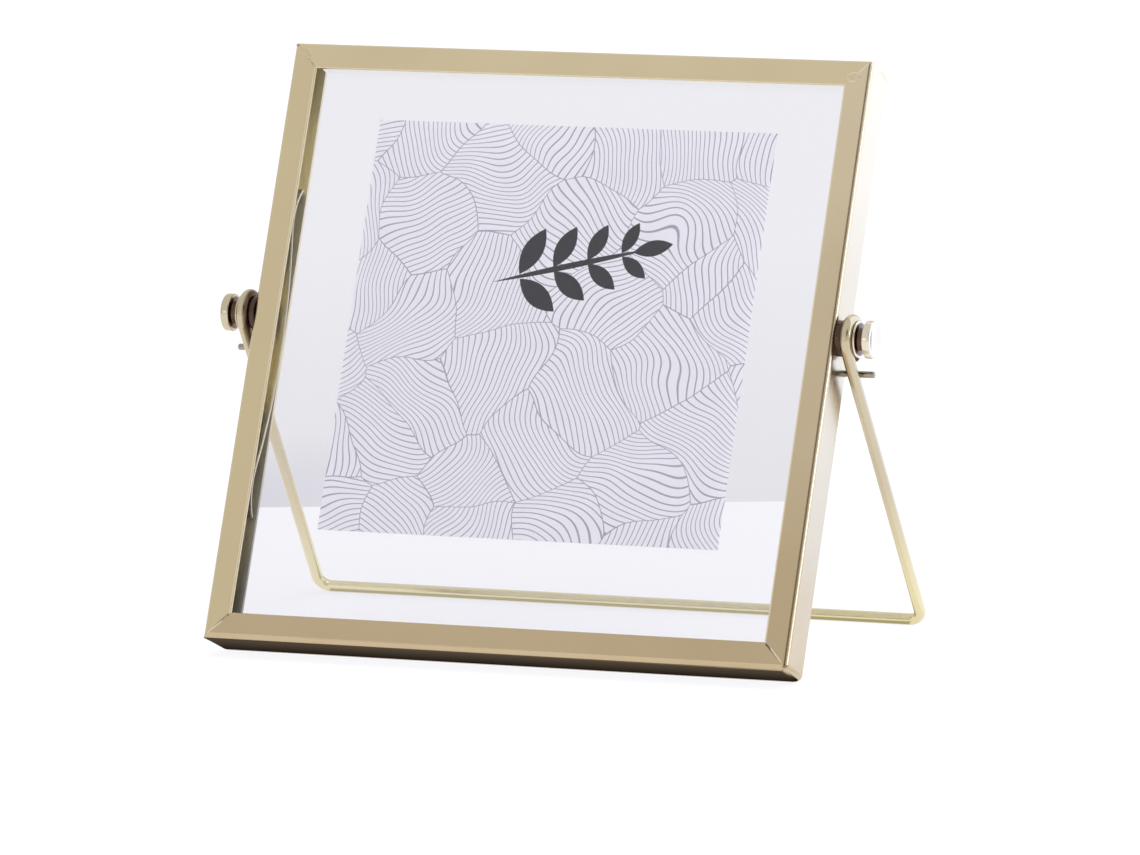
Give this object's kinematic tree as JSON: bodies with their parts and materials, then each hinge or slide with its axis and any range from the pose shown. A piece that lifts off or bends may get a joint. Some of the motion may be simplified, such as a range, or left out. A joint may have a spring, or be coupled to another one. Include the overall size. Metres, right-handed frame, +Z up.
{
  "type": "folding photo frame",
  "caption": "Tabletop frame of folded brass channel that holds a print between two glass panes and leans back on a swing-out wire stand.",
  "frame": {"origin": "on the table, at the middle of the footprint", "axes": "+X along the pivot line to the frame's right side as seen from the front, +Y from front to back, +Z up"},
  "size_m": [0.1654, 0.0808, 0.1376],
  "materials": {
    "brass_sheet": "satin, lightly lacquered",
    "solder": "dull",
    "glass": "clear",
    "print": "matt",
    "spring_brass": "satin",
    "turned_brass": "polished",
    "brass_wire": "polished"
  },
  "bodies": {
    "frame": {"top_rail": "brass_sheet", "bottom_rail": "brass_sheet", "left_stile": "brass_sheet", "right_stile": "brass_sheet", "top_left_solder": "solder", "top_right_solder": "solder", "bottom_left_solder": "solder", "bottom_right_solder": "solder", "front_glass": "glass", "back_glass": "glass", "print_sheet": "print", "left_leaf_spring": "spring_brass", "right_leaf_spring": "spring_brass", "left_pivot_nut": "turned_brass", "right_pivot_nut": "turned_brass", "left_spacer_washer": "turned_brass", "right_spacer_washer": "turned_brass", "left_stop_pin": "turned_brass", "right_stop_pin": "turned_brass"},
    "stand": {"wire_stand": "brass_wire"},
    "left_screw": {"left_thumb_screw": "turned_brass"},
    "right_screw": {"right_thumb_screw": "turned_brass"}
  },
  "joints": [
    {"name": "stand_fold", "type": "hinge", "parent": "frame", "child": "stand", "pos_m": [0, -0.0009, 0.07608], "axis": [-1, 0, 0], "range_deg": [0, 53.3]},
    {"name": "left_screw_turn", "type": "hinge", "parent": "frame", "child": "left_screw", "pos_m": [-0.0774, -0.0009, 0.07608], "axis": [-1, 0, 0], "range_deg": [0, 360]},
    {"name": "right_screw_turn", "type": "hinge", "parent": "frame", "child": "right_screw", "pos_m": [0.0774, -0.0009, 0.07608], "axis": [1, 0, 0], "range_deg": [0, 360]}
  ]
}
